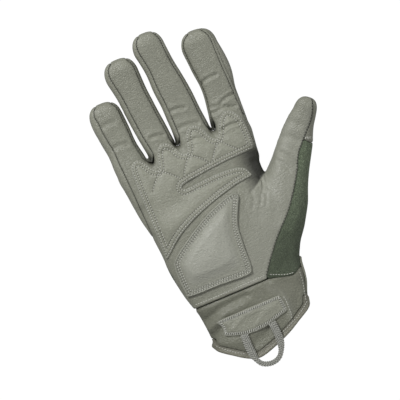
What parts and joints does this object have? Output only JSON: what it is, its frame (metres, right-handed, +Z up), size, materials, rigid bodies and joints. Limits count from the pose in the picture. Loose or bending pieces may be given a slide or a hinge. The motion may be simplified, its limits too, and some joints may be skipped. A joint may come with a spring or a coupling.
{
  "type": "tactical glove",
  "caption": "Right-hand work glove in sage grey leather and green cloth, palm up, with quilted grip patch, padded heel patch, short cuff and webbing pull loop.",
  "frame": {"origin": "middle of the glove's outline, on the surface that the glove lies on", "axes": "+Y to the fingertips, +X to the thumb side, +Z up out of the palm"},
  "size_m": [0.1615, 0.2656, 0.0353],
  "materials": {
    "leather": "matt sage grey goat leather with fine grain",
    "cloth": "dark green brushed knit cloth",
    "binding": "light rolled leather edge",
    "webbing": "ribbed grey green webbing",
    "thread": "light grey green sewing thread"
  },
  "bodies": {
    "root": {"palm_front": "leather", "hand_back": "cloth", "thumb_gusset": "cloth", "thumb_tip_cap": "leather", "finger_back_little": "leather", "finger_back_ring": "leather", "finger_back_middle": "leather", "finger_back_index": "leather", "fourchette_little_ring": "leather", "fourchette_ring_middle": "leather", "fourchette_middle_index": "leather", "side_strip_little": "leather", "side_strip_index": "leather", "wrist_cuff": "leather", "cuff_hem": "binding", "pull_loop": "webbing", "grip_patch": "leather", "heel_patch": "leather", "cuff_patch": "leather", "closure_tab": "leather"}
  },
  "joints": []
}
